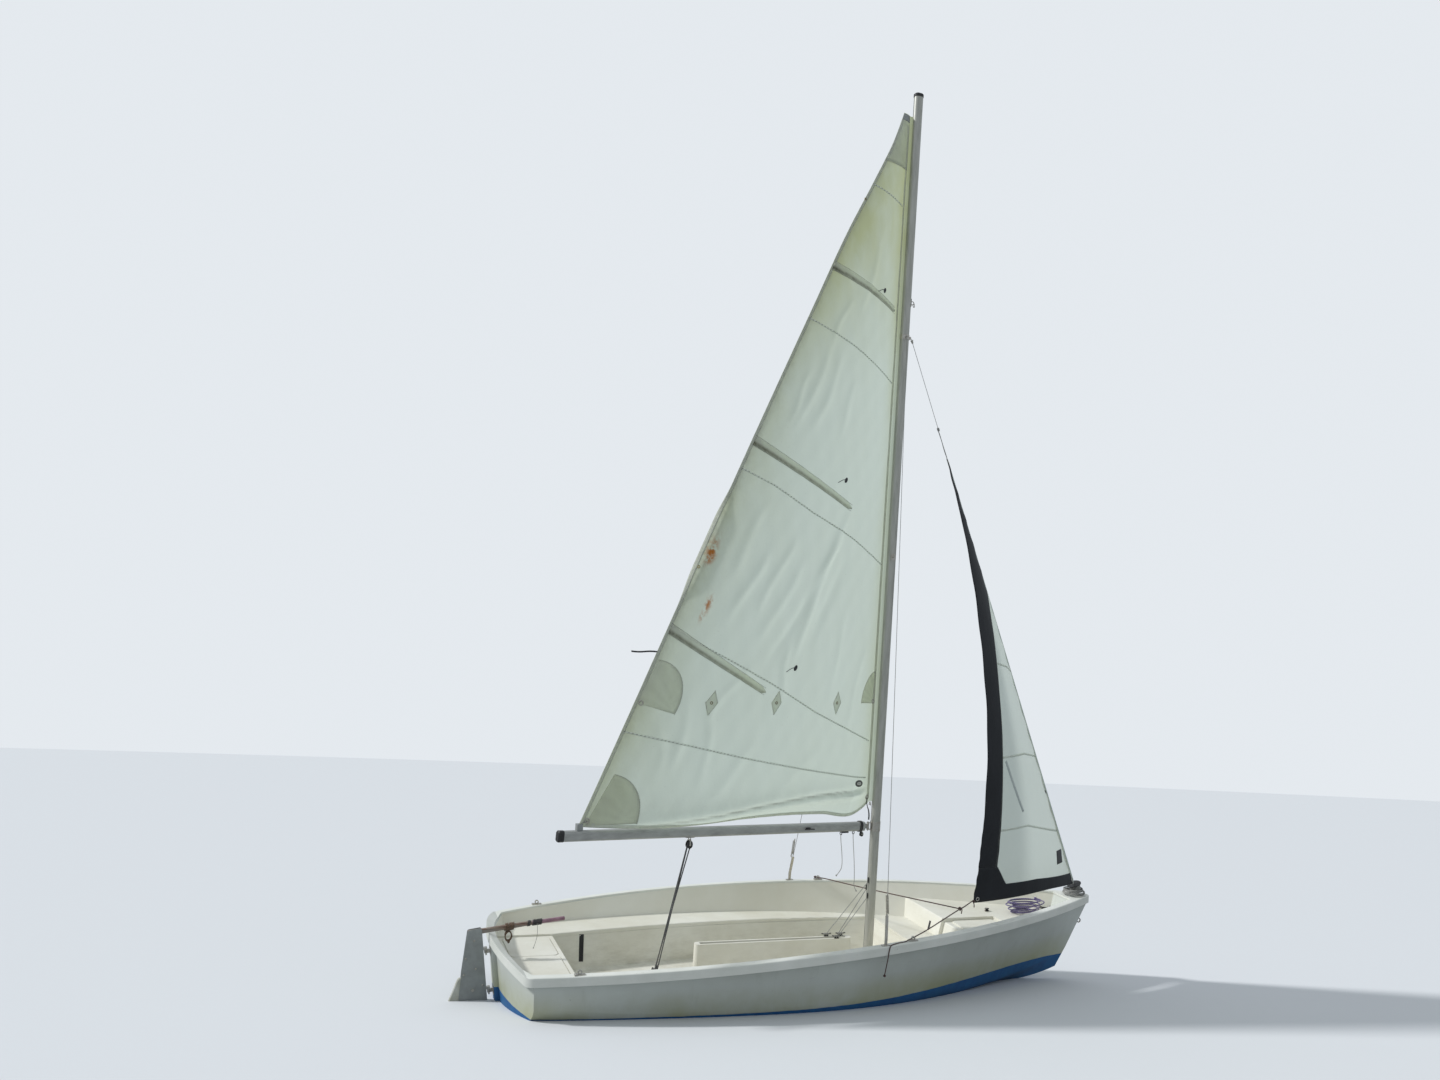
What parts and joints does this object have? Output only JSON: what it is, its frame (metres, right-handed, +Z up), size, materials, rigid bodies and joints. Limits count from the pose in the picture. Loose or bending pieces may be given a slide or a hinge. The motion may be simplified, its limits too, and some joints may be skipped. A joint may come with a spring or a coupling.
{
  "type": "sailing dinghy",
  "caption": "Open glassfibre sailing dinghy with side benches, mast, boom, mainsail, furling jib, lifting rudder blade and centreboard.",
  "frame": {"origin": "on the waterline amidships, on the centreline, with the boat upright", "axes": "+X towards the bow, +Y to port, +Z up along the mast"},
  "size_m": [5.2317, 1.88, 8.0083],
  "materials": {
    "hull_gelcoat": "glossy white gelcoat, aged",
    "rail_gelcoat": "satin white gelcoat, aged",
    "inside_gelcoat": "satin cream gelcoat, scuffed",
    "board_laminate": "white glass laminate",
    "rudder_laminate": "grey painted laminate",
    "rudder_alloy": "dull plate",
    "stainless_steel": "worn satin",
    "rigging_wire": "stranded wire",
    "spar_aluminium": "weathered anodised extrusion",
    "black_plastic": "moulded, matt",
    "mainsail_cloth": "woven polyester sailcloth, weathered",
    "jib_cloth": "woven polyester sailcloth with a dark leech band",
    "tiller_wood": "weathered, varnish gone",
    "tiller_sleeve": "faded sleeve"
  },
  "bodies": {
    "hull": {"bow_eye": "stainless_steel", "centreboard_case": "inside_gelcoat", "centreboard_pin": "stainless_steel", "chainplate_port": "stainless_steel", "chainplate_starboard": "stainless_steel", "cockpit_tub": "inside_gelcoat", "fore_platform": "inside_gelcoat", "foredeck": "inside_gelcoat", "foredeck_hatch": "inside_gelcoat", "forestay": "rigging_wire", "furler": "black_plastic", "gooseneck_bracket": "stainless_steel", "gudgeon_lower": "stainless_steel", "gudgeon_upper": "stainless_steel", "gunwale_rail": "rail_gelcoat", "hounds": "stainless_steel", "hull_shell": "hull_gelcoat", "jib": "jib_cloth", "jib_lead_port": "stainless_steel", "jib_lead_starboard": "stainless_steel", "mast": "spar_aluminium", "mast_cap": "black_plastic", "mast_step": "stainless_steel", "port_bench": "inside_gelcoat", "shroud_port": "rigging_wire", "shroud_starboard": "rigging_wire", "starboard_bench": "inside_gelcoat", "stem_fitting": "stainless_steel", "stern_deck": "inside_gelcoat", "stern_fairlead_port": "stainless_steel", "stern_fairlead_starboard": "stainless_steel", "stern_panel_port": "inside_gelcoat", "stern_panel_starboard": "inside_gelcoat", "sternpost_pad": "hull_gelcoat"},
    "boom": {"boom": "spar_aluminium", "boom_end_cap": "black_plastic", "gooseneck_toggle": "stainless_steel", "mainsail": "mainsail_cloth", "clew_slide": "black_plastic"},
    "rudder": {"rudder_head": "rudder_alloy", "pintle_upper": "stainless_steel", "pintle_lower": "stainless_steel", "rudder_bolt": "stainless_steel", "tiller": "tiller_wood", "tiller_grip": "tiller_sleeve"},
    "rudder_blade": {"rudder_blade": "rudder_laminate"},
    "centreboard": {"centreboard": "board_laminate"}
  },
  "joints": [
    {"name": "boom_swing", "type": "hinge", "parent": "hull", "child": "boom", "pos_m": [0.426, 0, 1.195], "axis": [0, 0, 1], "range_deg": [-75, 44]},
    {"name": "rudder_steer", "type": "hinge", "parent": "hull", "child": "rudder", "pos_m": [-2.4708, 0, 0.45], "axis": [-0.1478, 0, 0.989], "range_deg": [-40, 40]},
    {"name": "blade_kick", "type": "hinge", "parent": "rudder", "child": "rudder_blade", "pos_m": [-2.5308, 0, 0.1074], "axis": [0, 1, 0], "range_deg": [0, 78]},
    {"name": "board_lift", "type": "hinge", "parent": "hull", "child": "centreboard", "pos_m": [0.175, 0, 0.1], "axis": [0, 1, 0], "range_deg": [0, 84]}
  ]
}
